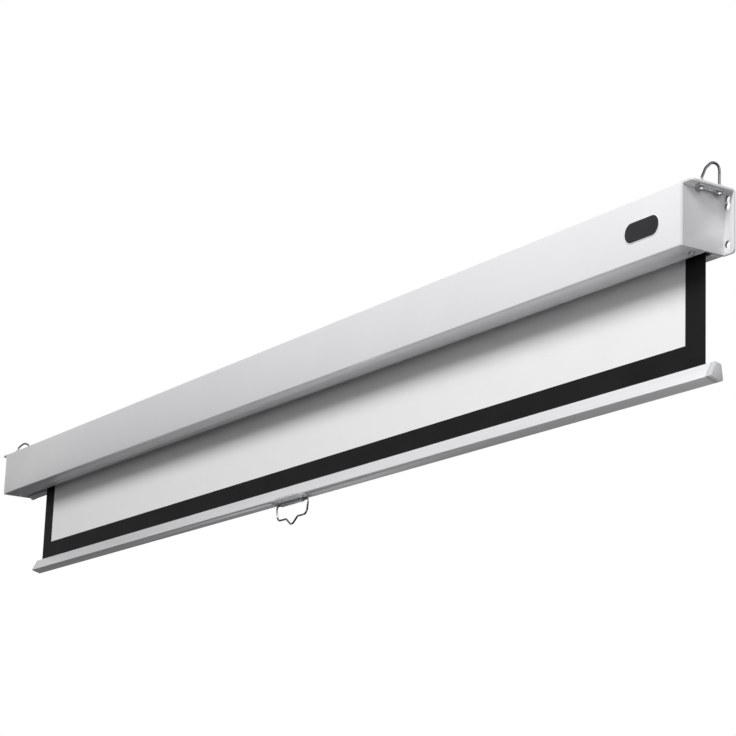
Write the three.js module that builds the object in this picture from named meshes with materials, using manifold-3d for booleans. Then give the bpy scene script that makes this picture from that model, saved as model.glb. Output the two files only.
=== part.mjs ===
// A pull-down projection screen for a wall or a ceiling, pulled down by a hand's width.
// Lengths are in millimetres. X runs along the housing to the viewer's right, Y from the
// room to the wall and Z up. The origin is on the wall plane, in the middle of the
// housing's back.

import * as THREE from 'three';
import { mergeVertices } from 'three/addons/utils/BufferGeometryUtils.js';
import Module from 'manifold-3d';

// Room left wherever two pieces touch, and how far a cutter runs past what it cuts
const gap = 0.3;
const overrun = 1;

// Sheet: a white picture with black margins, wound on a roller
const pictureWidth = 1800;
const pictureHeight = 1012.5;
const sideMargin = 36;
const bottomMargin = 30;
const topMargin = 42; // black left above the picture at full drop
const sheetThickness = 0.4;
const sheetKept = 210; // stays on the roller and in the housing at full drop
const sheetSetback = 21.5; // sheet in front of the wall plane
const shownDrop = 135.5; // bar below the housing, as the screen hangs here

// Housing: one folded steel sheet round the roll, open along its underside
const housingWall = 1.2;
const foldRadius = 1;
const rollHeadroom = 16.69; // above and below the fullest roll
const rollFrontRoom = 1.6; // before the fullest roll
const slotFront = 6; // slot's front edge before the sheet
const slotRear = 5.5; // slot's rear edge behind the sheet
const lipHeight = 6;

// End brackets: a plate with flanges turned outwards along its top and back
const plateThickness = 3;
const bracketFold = 1.5;
const flangeReach = 17;
const flangeCorner = 4;
const keyholeShare = 0.38; // how far out on the flange its holes lie
const keyholeWide = 9.5;
const keyholeNarrow = 8;
const keyholeNeck = 5.5;
const keyholeRise = 9.3; // from the wide round to the narrow one
const keyholeBelowTop = 19.3;
const lowerHole = 9.2;
const lowerHoleAboveFloor = 12.5;
const lugThickness = 2;
const lugWidth = 16;

// Screws up through the housing's floor into the brackets' lugs
const capScrewDiameter = 4;
const capScrewHead = 8;
const capScrewHeadHeight = 2.6;
const capScrewTail = 2; // past the lug
const capScrewInset = 13; // in from the plate
const capScrewSetback = 40; // from the wall plane

// Hangers: a bent rod through each top flange, a strap under it and four nuts
const hangerRod = 3.5;
const hangerSpan = 29; // between the middles of its legs
const hangerSetback = 32.5; // from the wall plane
const hangerRise = 31.4; // top of the loop over the flange
const hangerTail = 2; // past the lower nuts
// The front leg leans in over its nut, to a crown near the rear leg
const hangerKneeRise = 4.6;
const hangerShoulderRise = 20;
const hangerShoulderIn = 7; // in from the front leg
const hangerCrownIn = 16.7;
const hangerKneeRadius = 4;
const hangerShoulderRadius = 14;
const hangerCrownRadius = 10;
const hangerRearRadius = 8;
const strapThickness = 2;
const strapWidth = 11;
const strapEnd = 6; // strap past the middle of a leg
const nutAcrossFlats = 7;
const nutHeight = 3.2;

// Roller tube, and its bearing on the right
const tubeDiameter = 36;
const tubeWall = 1.2;
const looseLayerGap = 0.5; // under the free end of the outer layer
const idlerOverhang = 2; // tube past the sheet
const idlerRim = 2;
const idlerPlay = 1.9;
const idlerPlugLength = 25;
const idlerPlugWall = 2;
const idlerPinDiameter = 8;
const idlerPinReach = 16; // into the plug
const idlerPinFlange = 22;
const idlerPinFlangeThickness = 2;

// Lock on the left: a notched wheel on the fixed spindle, and two pawls on the roller's cap
const lockSideRoom = 96; // from the sheet to the end plate
const lockOverhang = 44; // tube past the sheet
const lockRim = 3;
const lockPlugLength = 22;
const lockPlugWall = 2.5;
const lockWeb = 9;
const lockHub = 3; // wall round the spindle
const spindleDiameter = 8;
const tangThickness = 4.8;
const holderBase = 2;
const holderDepth = 18;
const holderCheek = 5;
const holderFoot = 5; // under the tang
const holderFlange = 4; // base past the block
const pawlThickness = 4;
const pawlPinHead = 1.2;
const pawlPinSeat = 6;
// Shares of the tube's radius
const wheelShare = 0.44;
const pawlPivotShare = 0.69;
const pawlHubShare = 0.16;
const pawlPinShare = 0.085;
const pawlNoseShare = 0.17;
const notchShare = 0.5; // notch, as a share of the wheel's rim
const pawlPivotAngle = 130; // degrees from the wall side, over the spindle
const pawlNoseAngle = 60;
const notchRamp = 55; // degrees
const notchCount = 2;

// Torsion spring round the spindle, between a fixed collar and a plug in the tube
const springWire = 2.2;
const springPitch = 9;
const springTurns = 24;
const collarRoom = 3; // from the lock's plug
const collarRim = 3;
const collarNeck = 12;
const springPlugLength = 12;
const spindleTail = 3; // past the spring's plug

// Bottom bar: a hollow extrusion, placed from the sheet and from its own top
const barTopFront = 2;
const barNoseReach = 11.8;
const barNoseDrop = 19.8;
const barKeelReach = 4.5;
const barKeelDrop = 24.7;
const barHeelReach = 10.8;
const barHeelDrop = 22;
const barShoulderReach = 7.4;
const barShoulderDrop = 2.2;
const barEdgeRadius = 1;
const barKeelRadius = 3;
const barShoulderRadius = 2.6;
const barWall = 1.2;
const barOverhang = 20; // bar past the sheet
const channelWall = 1.2;
const channelCover = 1.5; // over the channel
const slotPlay = 0.5; // beside the doubled sheet
const hemRodDiameter = 3.4;
const capThickness = 7;
const capGroove = 0.9; // between the bar's end and the cap's rim
const capBevel = 1.2;
const capPlugLength = 12;
const capPlugWall = 1.5;

// Handle: a bent wire in a rolled barrel under the bar, a little left of its middle
const handleOffset = -7;
const handleWire = 3;
const handleHalf = 47.5; // at the hinge
const handleFootHalf = 43.5;
const handleDrop = 23.5;
const handleDipHalf = 17;
const handleDip = 12.5; // finger dip under the foot
const handleShoulderRadius = 5;
const handleFootRadius = 10;
const handleDipRadius = 5;
const handleTipRadius = 10;
const handlePinReach = 12; // into the barrel
const bracketHalf = 51;
const bracketSheet = 1.2;
const bracketStart = 0.8; // behind the bar's nose
const barrelHalf = 32;
const barrelBack = 13.3; // barrel's middle behind the bar's nose
const barrelTurn = 290; // degrees of the roll
const barrelRoot = 10; // degrees of it inside the plate
const ribCount = 9;
const ribPitch = 7.5;
const ribWidth = 3.4;
const ribCrest = 1.4;
const ribHeight = 0.9;
const ribMargin = 1;
const bracketScrewOffset = 41;
const bracketScrewBack = 6;
const bracketScrewDiameter = 3;
const bracketScrewHead = 5.6;
const bracketScrewHeadHeight = 1.8;
const bracketScrewReach = 6;

// Faces round a circle and along a bend
const tubeFaces = 32;
const plugFaces = 24;
const boreFaces = 16;
const screwFaces = 12;
const wireFaces = 8;
const springFaces = 5;
const springSteps = 8;
const windingSteps = 40;
const bendSteps = 4;
const barrelSteps = 14;

// Places worked out from the sizes above
const sheetWidth = pictureWidth + 2 * sideMargin;
const sheetLength = pictureHeight + bottomMargin + topMargin + sheetKept;
const tubeRadius = tubeDiameter / 2;
const tubeBore = tubeRadius - tubeWall;
const woundRadius = (length) => Math.sqrt(tubeRadius ** 2 + length * sheetThickness / Math.PI);
const fullRoll = woundRadius(sheetLength);
const halfHeight = fullRoll + rollHeadroom + housingWall;
const rollRadius = woundRadius(sheetLength - shownDrop - halfHeight);
const rollerY = -(sheetSetback + sheetThickness / 2 + gap + rollRadius);
const depth = fullRoll - rollerY + rollFrontRoom + housingWall;
const idlerSideRoom = idlerOverhang + idlerRim + idlerPlay + idlerPinFlangeThickness + 2 * gap;
const plateInner = (sheetWidth + lockSideRoom + idlerSideRoom) / 2;
const plateOuter = plateInner + plateThickness;
const sheetMiddle = (lockSideRoom - idlerSideRoom) / 2;
const sheetLeft = sheetMiddle - sheetWidth / 2;
const sheetRight = sheetMiddle + sheetWidth / 2;
const tubeLeft = sheetLeft - lockOverhang;
const tubeRight = sheetRight + idlerOverhang;
const barTop = -(halfHeight + shownDrop);
const spindleRadius = spindleDiameter / 2;

const wasm = await Module();
wasm.setup();

// Plane helpers

const at = (x, y) => new THREE.Vector2(x, y);
const turn = (degrees) => THREE.MathUtils.degToRad(degrees);
const polar = (radius, degrees) => at(radius * Math.cos(turn(degrees)), radius * Math.sin(turn(degrees)));

// A path moved sideways to its left, with mitred corners
function offsetPath(corners, distance, closed = false) {
  const last = corners.length - 1;
  return corners.map((corner, i) => {
    const before = corners[i > 0 ? i - 1 : (closed ? last : 0)];
    const after = corners[i < last ? i + 1 : (closed ? 0 : last)];
    const into = corner.clone().sub(before).normalize();
    const out = after.clone().sub(corner).normalize();
    const normals = [into, out].filter((d) => d.length() > 0).map((d) => at(-d.y, d.x));
    const mitre = normals.reduce((sum, n) => sum.add(n), at(0, 0));
    return corner.clone().addScaledVector(mitre, distance * 2 / mitre.lengthSq() * normals.length / 2);
  });
}

// A path whose corners are rounded, each to its own radius
function roundedPath(corners, radii, closed = false) {
  const points = [];
  corners.forEach((corner, i) => {
    const isEnd = !closed && (i === 0 || i === corners.length - 1);
    if (isEnd || radii[i] === 0) {
      points.push(corner.clone());
      return;
    }
    const toBefore = corners[(i + corners.length - 1) % corners.length].clone().sub(corner).normalize();
    const toAfter = corners[(i + 1) % corners.length].clone().sub(corner).normalize();
    const half = Math.acos(toBefore.dot(toAfter)) / 2;
    const inward = toBefore.clone().add(toAfter).normalize();
    const centre = corner.clone().addScaledVector(inward, radii[i] / Math.sin(half));
    const start = corner.clone().addScaledVector(toBefore, radii[i] / Math.tan(half)).sub(centre);
    const way = Math.sign(toAfter.cross(toBefore));
    for (let k = 0; k <= bendSteps; k += 1) {
      const angle = way * (Math.PI - 2 * half) * k / bendSteps;
      points.push(start.clone().rotateAround(at(0, 0), angle).add(centre));
    }
  });
  return points;
}

// The section of a sheet folded along a line of corners in the middle of its thickness
function foldedStrip(corners, thickness, innerRadius) {
  const side = (sign) => {
    const edge = offsetPath(corners, sign * thickness / 2);
    const radii = corners.map((corner, i) => {
      if (i === 0 || i === corners.length - 1) return 0;
      const into = corner.clone().sub(corners[i - 1]);
      const out = corners[i + 1].clone().sub(corner);
      return sign * into.cross(out) > 0 ? innerRadius : innerRadius + thickness;
    });
    return roundedPath(edge, radii);
  };
  return new THREE.Shape([...side(1), ...side(-1).reverse()]);
}

const box2 = (x0, x1, y0, y1) => new THREE.Shape([at(x0, y0), at(x1, y0), at(x1, y1), at(x0, y1)]);

function disc(radius, faces, x = 0, y = 0) {
  const points = [];
  for (let i = 0; i < faces; i += 1) points.push(polar(radius, 360 * i / faces).add(at(x, y)));
  return new THREE.Shape(points);
}

function ring(outer, inner, faces) {
  const shape = disc(outer, faces);
  shape.holes.push(disc(inner, faces));
  return shape;
}

// Solid helpers

const extrude = (shape, length) => new THREE.ExtrudeGeometry(shape, { depth: length, bevelEnabled: false });
const alongZ = (shape, from, to) => extrude(shape, to - from).translate(0, 0, from);
// Shape drawn in X and Z
const alongY = (shape, from, to) => extrude(shape, to - from).rotateX(Math.PI / 2).translate(0, to, 0);
// Shape drawn in Y and Z
const cycle = new THREE.Matrix4().set(0, 0, 1, 0, 1, 0, 0, 0, 0, 1, 0, 0, 0, 0, 0, 1);
const alongX = (shape, from, to) => extrude(shape, to - from).applyMatrix4(cycle).translate(from, 0, 0);

// Profiles turned about X and about Z, as pairs of a place on the axis and a radius
function turnedZ(profile, faces) {
  const outline = [...profile, profile[0]].map(([z, r]) => at(r, z));
  return new THREE.LatheGeometry(outline, faces).rotateX(Math.PI / 2);
}
const turnedX = (profile, faces) => turnedZ(profile, faces).rotateY(Math.PI / 2);

// A round rod bent along a line of points
function bentRod(points, radius, faces) {
  const rings = points.length;
  const positions = [];
  const indices = [];
  const tangentAt = (i) => points[Math.min(i + 1, rings - 1)].clone().sub(points[Math.max(i - 1, 0)]).normalize();
  let tangent = tangentAt(0);
  const aside = Math.abs(tangent.z) > Math.SQRT1_2 ? new THREE.Vector3(1, 0, 0) : new THREE.Vector3(0, 0, 1);
  let normal = aside.cross(tangent).normalize();
  for (let i = 0; i < rings; i += 1) {
    const next = tangentAt(i);
    normal.applyQuaternion(new THREE.Quaternion().setFromUnitVectors(tangent, next));
    tangent = next;
    const side = tangent.clone().cross(normal);
    for (let k = 0; k < faces; k += 1) {
      const angle = 2 * Math.PI * k / faces;
      const point = points[i].clone();
      point.addScaledVector(normal, radius * Math.cos(angle)).addScaledVector(side, radius * Math.sin(angle));
      positions.push(...point.toArray());
    }
  }
  for (let i = 0; i + 1 < rings; i += 1) {
    for (let k = 0; k < faces; k += 1) {
      const a = i * faces + k;
      const b = i * faces + (k + 1) % faces;
      indices.push(a, b, b + faces, a, b + faces, a + faces);
    }
  }
  const end = (rings - 1) * faces;
  for (let k = 1; k + 1 < faces; k += 1) indices.push(0, k + 1, k, end, end + k, end + k + 1);
  const geometry = new THREE.BufferGeometry();
  geometry.setAttribute('position', new THREE.Float32BufferAttribute(positions, 3));
  geometry.setIndex(indices);
  return geometry;
}

// A closed mesh as a solid that can be joined and cut, with its faces turned outwards
function solid(geometry) {
  const bare = geometry.clone();
  bare.deleteAttribute('normal');
  bare.deleteAttribute('uv');
  const merged = mergeVertices(bare);
  const places = merged.getAttribute('position').array;
  const corner = (i) => new THREE.Vector3().fromArray(places, 3 * i);
  const triangles = [];
  let volume = 0;
  for (let i = 0; i < merged.index.count; i += 3) {
    const [a, b, c] = merged.index.array.slice(i, i + 3);
    if (a === b || b === c || c === a) continue;
    triangles.push([a, b, c]);
    volume += corner(a).dot(corner(b).cross(corner(c)));
  }
  const outward = volume < 0 ? triangles.map(([a, b, c]) => [a, c, b]) : triangles;
  return new wasm.Manifold(new wasm.Mesh({
    numProp: 3,
    vertProperties: new Float32Array(places),
    triVerts: new Uint32Array(outward.flat()),
  }));
}

function meshOf(body) {
  const { vertProperties, triVerts } = body.getMesh();
  const geometry = new THREE.BufferGeometry();
  geometry.setAttribute('position', new THREE.BufferAttribute(vertProperties, 3));
  geometry.setIndex(new THREE.BufferAttribute(triVerts, 1));
  return geometry.toNonIndexed();
}

const join = (first, ...rest) => meshOf(rest.reduce((body, other) => body.add(solid(other)), solid(first)));
const cut = (first, ...tools) => meshOf(tools.reduce((body, tool) => body.subtract(solid(tool)), solid(first)));
const common = (first, second) => meshOf(solid(first).intersect(solid(second)));

// The same piece on the other side
function mirrored(geometry) {
  return meshOf(solid(geometry.clone().scale(-1, 1, 1)));
}

// Finishes

const finishes = {
  whiteSteel: { color: 0xe8e8ea, roughness: 0.4, metalness: 0.05 },
  chrome: { color: 0xc9cbce, roughness: 0.18, metalness: 1 },
  zinc: { color: 0x9a9da1, roughness: 0.38, metalness: 0.9 },
  aluminium: { color: 0xc4c6c9, roughness: 0.35, metalness: 0.85 },
  greyPlastic: { color: 0xaeb0b3, roughness: 0.5, metalness: 0 },
  whiteNylon: { color: 0xe2e0d8, roughness: 0.55, metalness: 0 },
  springSteel: { color: 0x55585c, roughness: 0.4, metalness: 0.9 },
  whiteSheet: { color: 0xf2f2f2, roughness: 0.9, metalness: 0 },
  blackSheet: { color: 0x17171a, roughness: 0.85, metalness: 0 },
};

function place(group, name, finish, geometry) {
  const mesh = new THREE.Mesh(meshOf(solid(geometry)), new THREE.MeshStandardMaterial(finishes[finish]));
  mesh.name = name;
  group.add(mesh);
  return mesh;
}

function groupAt(parent, x, y, z) {
  const group = new THREE.Group();
  group.position.set(x, y, z);
  parent.add(group);
  return group;
}

// Housing and its ends

const slotFrontY = -(sheetSetback + slotFront);
const slotRearY = -(sheetSetback - slotRear);
const capScrewX = plateInner - capScrewInset;

function housingShell() {
  const mid = housingWall / 2;
  const floor = -halfHeight + mid;
  const roof = halfHeight - mid;
  const lipTop = -halfHeight + housingWall + lipHeight;
  const profile = foldedStrip([
    at(slotFrontY - mid, lipTop), at(slotFrontY - mid, floor), at(-depth + mid, floor),
    at(-depth + mid, roof), at(-mid, roof), at(-mid, floor),
    at(slotRearY + mid, floor), at(slotRearY + mid, lipTop),
  ], housingWall, foldRadius);
  const half = plateInner - gap;
  const hole = capScrewDiameter / 2 + gap;
  const drills = [-1, 1].map((side) => alongZ(
    disc(hole, boreFaces, side * capScrewX, -capScrewSetback),
    -halfHeight - overrun,
    -halfHeight + housingWall + overrun,
  ));
  return cut(alongX(profile, -half, half), ...drills);
}

function keyhole(x) {
  const wideZ = halfHeight - keyholeBelowTop;
  const narrowZ = wideZ + keyholeRise;
  const through = (shape) => alongY(shape, -plateThickness - overrun, overrun);
  return [
    through(disc(keyholeWide / 2, boreFaces, x, wideZ)),
    through(disc(keyholeNarrow / 2, boreFaces, x, narrowZ)),
    through(box2(x - keyholeNeck / 2, x + keyholeNeck / 2, wideZ, narrowZ)),
    through(disc(lowerHole / 2, boreFaces, x, -halfHeight + lowerHoleAboveFloor)),
  ];
}

function endBracket() {
  const mid = plateInner + plateThickness / 2;
  const tip = plateOuter + flangeReach;
  const roof = halfHeight - plateThickness / 2;
  const back = -plateThickness / 2;
  const corners = [0, flangeCorner, flangeCorner, 0];
  const topFold = alongY(
    foldedStrip([at(mid, -halfHeight), at(mid, roof), at(tip, roof)], plateThickness, bracketFold),
    -depth,
    0,
  );
  const backFold = alongZ(
    foldedStrip([at(mid, -depth), at(mid, back), at(tip, back)], plateThickness, bracketFold),
    -halfHeight,
    halfHeight,
  );
  const plan = roundedPath([at(plateInner, -depth), at(tip, -depth), at(tip, 0), at(plateInner, 0)], corners, true);
  const front = roundedPath(
    [at(plateInner, -halfHeight), at(tip, -halfHeight), at(tip, halfHeight), at(plateInner, halfHeight)],
    corners,
    true,
  );
  const topPart = common(topFold, alongZ(new THREE.Shape(plan), -halfHeight - overrun, halfHeight + overrun));
  const backPart = common(backFold, alongY(new THREE.Shape(front), -depth - overrun, overrun));
  const lugFloor = -halfHeight + housingWall + gap;
  const lugEnd = capScrewX - lugWidth / 2;
  const lugFront = -capScrewSetback - lugWidth / 2;
  const lugBack = -capScrewSetback + lugWidth / 2;
  const lugPlan = roundedPath(
    [at(lugEnd, lugFront), at(mid, lugFront), at(mid, lugBack), at(lugEnd, lugBack)],
    [lugThickness, 0, 0, lugThickness],
    true,
  );
  const lug = alongZ(new THREE.Shape(lugPlan), lugFloor, lugFloor + lugThickness);
  const lugDrill = alongZ(
    disc(capScrewDiameter / 2 + gap, boreFaces, capScrewX, -capScrewSetback),
    lugFloor - overrun,
    lugFloor + lugThickness + overrun,
  );
  const legHoles = [-1, 1].map((side) => alongZ(
    disc(hangerRod / 2 + gap, boreFaces, plateOuter + flangeReach / 2, -hangerSetback + side * hangerSpan / 2),
    halfHeight - plateThickness - overrun,
    halfHeight + overrun,
  ));
  const holes = keyhole(plateOuter + flangeReach * keyholeShare);
  return cut(join(topPart, backPart, lug), lugDrill, ...legHoles, ...holes);
}

// A domed screw along Z with a cross in its head, head down, its shank starting at zero
function domedScrew(diameter, headDiameter, headHeight, reach) {
  const radius = diameter / 2;
  const head = headDiameter / 2;
  const crown = -headHeight;
  const body = turnedZ([
    [crown, 0], [crown, head / 2], [crown * 3 / 4, head * 5 / 6], [crown / 3, head], [0, head], [0, radius],
    [reach - radius / 2, radius], [reach, radius / 2], [reach, 0],
  ], screwFaces);
  const arm = head * 5 / 8;
  const slit = head / 8;
  const crossAt = (x, y) => alongZ(box2(-x, x, -y, y), crown - overrun, crown / 2);
  return cut(body, crossAt(arm, slit), crossAt(slit, arm));
}

function capScrew() {
  const reach = housingWall + lugThickness + 2 * gap + capScrewTail;
  return domedScrew(capScrewDiameter, capScrewHead, capScrewHeadHeight, reach);
}

// Hangers, placed from the top of the flange between their legs

const strapTop = -plateThickness - gap;
const lowerNutTop = strapTop - strapThickness - gap;

function hangerLoop() {
  const half = hangerSpan / 2;
  const top = hangerRise - hangerRod / 2;
  const foot = lowerNutTop - nutHeight - hangerTail;
  const corners = [
    at(-half, foot), at(-half, hangerKneeRise), at(hangerShoulderIn - half, hangerShoulderRise),
    at(hangerCrownIn - half, top), at(half, top), at(half, foot),
  ];
  const radii = [0, hangerKneeRadius, hangerShoulderRadius, hangerCrownRadius, hangerRearRadius, 0];
  const line = roundedPath(corners, radii).map((p) => new THREE.Vector3(0, p.x, p.y));
  return bentRod(line, hangerRod / 2, wireFaces);
}

function hangerStrap() {
  const halfWidth = strapWidth / 2;
  const halfLength = hangerSpan / 2 + strapEnd;
  const corners = [
    at(-halfWidth, -halfLength), at(halfWidth, -halfLength), at(halfWidth, halfLength), at(-halfWidth, halfLength),
  ];
  const outline = new THREE.Shape(roundedPath(corners, corners.map(() => halfWidth / 2), true));
  outline.holes.push(...[-1, 1].map((side) => disc(hangerRod / 2 + gap, boreFaces, 0, side * hangerSpan / 2)));
  return alongZ(outline, strapTop - strapThickness, strapTop);
}

function hexNut() {
  const corner = nutAcrossFlats / Math.sqrt(3);
  const outline = disc(corner, 6);
  outline.holes.push(disc(hangerRod / 2 + gap, screwFaces));
  const chamfer = corner - nutAcrossFlats / 2;
  const blank = turnedZ([
    [0, 0], [0, nutAcrossFlats / 2], [chamfer, corner + gap],
    [nutHeight - chamfer, corner + gap], [nutHeight, nutAcrossFlats / 2], [nutHeight, 0],
  ], screwFaces);
  return common(alongZ(outline, 0, nutHeight), blank);
}

function hanger(parent, side, name) {
  const group = groupAt(parent, side * (plateOuter + flangeReach / 2), -hangerSetback, halfHeight);
  place(group, `hanger_loop_${name}`, 'chrome', hangerLoop());
  place(group, `hanger_strap_${name}`, 'zinc', hangerStrap());
  for (const [end, way] of [['front', -1], ['rear', 1]]) {
    for (const [level, bottom] of [['upper', gap], ['lower', lowerNutTop - nutHeight]]) {
      const nut = place(group, `hanger_nut_${name}_${end}_${level}`, 'chrome', hexNut());
      nut.position.set(0, way * hangerSpan / 2, bottom);
    }
  }
}

// Roller and its bearing, placed from the roller's axis

const rollerTube = () => alongX(ring(tubeRadius, tubeBore, tubeFaces), tubeLeft, tubeRight);

// The outer layer winds loosely over a plain core, and its free end faces the slot
function woundSheet() {
  const step = sheetThickness + looseLayerGap;
  const core = rollRadius - step;
  const outerAt = (degrees) => rollRadius - step * degrees / 360;
  const merge = 360 * looseLayerGap / step;
  const slitSteps = Math.ceil(windingSteps * merge / 360);
  const points = [];
  for (let i = 0; i <= windingSteps; i += 1) {
    const degrees = 360 * i / windingSteps;
    points.push(polar(outerAt(degrees), degrees));
  }
  for (let i = 1; i <= slitSteps; i += 1) points.push(polar(core, merge * i / slitSteps));
  for (let i = slitSteps - 1; i >= 0; i -= 1) {
    const degrees = merge * i / slitSteps;
    points.push(polar(outerAt(degrees) - sheetThickness, degrees));
  }
  const outline = new THREE.Shape(points);
  outline.holes.push(disc(tubeRadius + gap, tubeFaces));
  return alongX(outline, sheetLeft, sheetRight);
}

function idlerPlug() {
  const bore = idlerPinDiameter / 2 + gap;
  const plug = tubeBore - gap;
  const end = tubeRight + gap + idlerRim;
  const start = tubeRight - idlerPlugLength;
  const web = tubeRight - idlerPlugWall;
  return turnedX([
    [end, bore], [end, tubeRadius], [end - idlerRim, tubeRadius], [end - idlerRim, plug], [start, plug],
    [start, plug - idlerPlugWall], [web, plug - idlerPlugWall], [web, bore + idlerPlugWall],
    [start, bore + idlerPlugWall], [start, bore],
  ], plugFaces);
}

function idlerPin() {
  const radius = idlerPinDiameter / 2;
  const back = plateInner - gap;
  const start = tubeRight - idlerPinReach;
  const shoulder = back - idlerPinFlangeThickness;
  return turnedX([
    [back, 0], [back, idlerPinFlange / 2], [shoulder, idlerPinFlange / 2], [shoulder, radius],
    [start + radius / 3, radius], [start, radius * 2 / 3], [start, 0],
  ], plugFaces);
}

// Lock, from the end plate inwards

const lockRimOuter = tubeLeft - gap - lockRim;
const pawlInner = lockRimOuter - gap;
const pawlOuter = pawlInner - pawlThickness;
const wheelRadius = tubeRadius * wheelShare;
const pivotRadius = tubeRadius * pawlPivotShare;
const pawlPinRadius = tubeRadius * pawlPinShare;
const holderStart = -plateInner + gap;
const tangStart = holderStart + holderBase + gap;
const holderEnd = holderStart + holderDepth;
const pivot = polar(pivotRadius, pawlPivotAngle);

function spindleHolder() {
  const slit = tangThickness / 2 + gap;
  const side = slit + holderCheek;
  const seat = -spindleRadius - gap;
  const foot = seat - holderFoot;
  const top = spindleRadius + gap;
  const base = roundedPath([
    at(-side - holderFlange, foot - holderFlange), at(side + holderFlange, foot - holderFlange),
    at(side + holderFlange, top + holderFlange), at(-side - holderFlange, top + holderFlange),
  ], [holderFlange, holderFlange, holderFlange, holderFlange], true);
  const body = join(
    alongX(new THREE.Shape(base), holderStart, holderStart + holderBase),
    alongX(box2(-side, side, foot, top), holderStart + holderBase / 2, holderEnd),
  );
  return cut(body, alongX(box2(-slit, slit, seat, top + overrun), holderStart + holderBase, holderEnd + overrun));
}

const collarStart = tubeLeft + lockPlugLength + collarRoom;
const springStart = collarStart + collarRim + gap;
const springEnd = springStart + springTurns * springPitch;
const springPlugStart = springEnd + gap;
const spindleEnd = springPlugStart + springPlugLength + spindleTail;

function spindle() {
  const rod = alongX(disc(spindleRadius, plugFaces), tangStart, spindleEnd);
  const flats = [-1, 1].map((side) => {
    const inner = side * tangThickness / 2;
    const outer = side * (spindleRadius + overrun);
    const shape = box2(Math.min(inner, outer), Math.max(inner, outer), -spindleDiameter, spindleDiameter);
    return alongX(shape, tangStart - overrun, holderEnd + gap);
  });
  return cut(rod, ...flats);
}

// Each notch falls straight in and climbs out along a ramp
function ratchetWheel() {
  const bore = spindleRadius + gap;
  const notch = (wheelRadius - bore) * notchShare;
  const points = [];
  for (let n = 0; n < notchCount; n += 1) {
    const start = 360 * n / notchCount;
    points.push(polar(wheelRadius - notch, start));
    for (let i = 1; i <= bendSteps; i += 1) {
      points.push(polar(wheelRadius - notch * (1 - i / bendSteps), start + notchRamp * i / bendSteps));
    }
    const land = 360 / notchCount - notchRamp;
    const steps = 2 * bendSteps;
    for (let i = 1; i <= steps; i += 1) points.push(polar(wheelRadius, start + notchRamp + land * i / steps));
  }
  const outline = new THREE.Shape(points);
  outline.holes.push(disc(bore, boreFaces));
  return alongX(outline, pawlOuter, pawlInner);
}

function lockCap() {
  const bore = spindleRadius + gap;
  const plug = tubeBore - gap;
  const end = tubeLeft + lockPlugLength;
  const web = lockRimOuter + lockWeb;
  const body = turnedX([
    [lockRimOuter, bore], [lockRimOuter, tubeRadius], [tubeLeft - gap, tubeRadius], [tubeLeft - gap, plug],
    [end, plug], [end, plug - lockPlugWall], [web, plug - lockPlugWall], [web, bore + lockHub],
    [end, bore + lockHub], [end, bore],
  ], plugFaces);
  const seats = [1, -1].map((side) => alongX(
    disc(pawlPinRadius + gap, screwFaces, side * pivot.x, side * pivot.y),
    lockRimOuter - overrun,
    lockRimOuter + pawlPinSeat + gap,
  ));
  return cut(body, ...seats);
}

// Pawl and pin are drawn for the upper side, and the lower ones are the same half a turn on
function pawl() {
  const hub = tubeRadius * pawlHubShare;
  const nose = polar(wheelRadius + tubeRadius * pawlNoseShare, pawlNoseAngle);
  const beak = polar(wheelRadius, pawlNoseAngle);
  const arm = nose.clone().sub(pivot).normalize().multiplyScalar(hub * 3 / 4);
  const across = at(-arm.y, arm.x);
  const side = new THREE.Shape([pivot.clone().add(across), pivot.clone().sub(across), beak, nose]);
  const blank = join(
    alongX(disc(hub, boreFaces, pivot.x, pivot.y), pawlOuter, pawlInner),
    alongX(side, pawlOuter, pawlInner),
  );
  return cut(
    blank,
    alongX(disc(wheelRadius + gap, tubeFaces), pawlOuter - overrun, pawlInner + overrun),
    alongX(disc(pawlPinRadius + gap, screwFaces, pivot.x, pivot.y), pawlOuter - overrun, pawlInner + overrun),
  );
}

function pawlPin() {
  const headEnd = pawlOuter - gap - pawlPinHead;
  const profile = [
    [headEnd, 0], [headEnd, pawlPinRadius * 3 / 2], [pawlOuter - gap, pawlPinRadius * 3 / 2],
    [pawlOuter - gap, pawlPinRadius], [lockRimOuter + pawlPinSeat, pawlPinRadius], [lockRimOuter + pawlPinSeat, 0],
  ];
  return turnedX(profile, screwFaces).translate(0, pivot.x, pivot.y);
}

// Spring

const springRadius = (spindleRadius + tubeBore) / 2;
// A turn's flat facets pass nearest the axis at their middles
const springInside = springRadius * Math.cos(Math.PI / springSteps) - springWire / 2;
const neckRadius = springInside - gap;

function springLine() {
  const steps = springTurns * springSteps;
  const first = springStart + springWire / 2;
  const run = springEnd - springStart - springWire;
  const points = [];
  for (let i = 0; i <= steps; i += 1) {
    const around = polar(springRadius, 360 * i / springSteps);
    points.push(new THREE.Vector3(first + run * i / steps, around.x, around.y));
  }
  return points;
}

// The least gap between turns, from points at least half a turn apart
function leastGap(points, wire, apart) {
  let least = Infinity;
  for (let i = 0; i < points.length; i += 1) {
    for (let k = i + apart; k < points.length; k += 1) least = Math.min(least, points[i].distanceTo(points[k]));
  }
  return least - wire;
}

function springCollar() {
  const end = collarStart + collarRim;
  const bore = spindleRadius + gap;
  const rim = springRadius + springWire / 2;
  return turnedX([
    [collarStart, bore], [collarStart, rim], [end, rim], [end, neckRadius], [end + collarNeck, neckRadius],
    [end + collarNeck, bore],
  ], plugFaces);
}

function springPlug() {
  const bore = spindleRadius + gap;
  const end = springPlugStart + springPlugLength;
  const neck = springPlugStart - collarNeck;
  return turnedX([
    [neck, bore], [neck, neckRadius], [springPlugStart, neckRadius], [springPlugStart, tubeBore - gap],
    [end, tubeBore - gap], [end, bore],
  ], plugFaces);
}

// Hanging part of the sheet, drawn in X and Z

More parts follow.
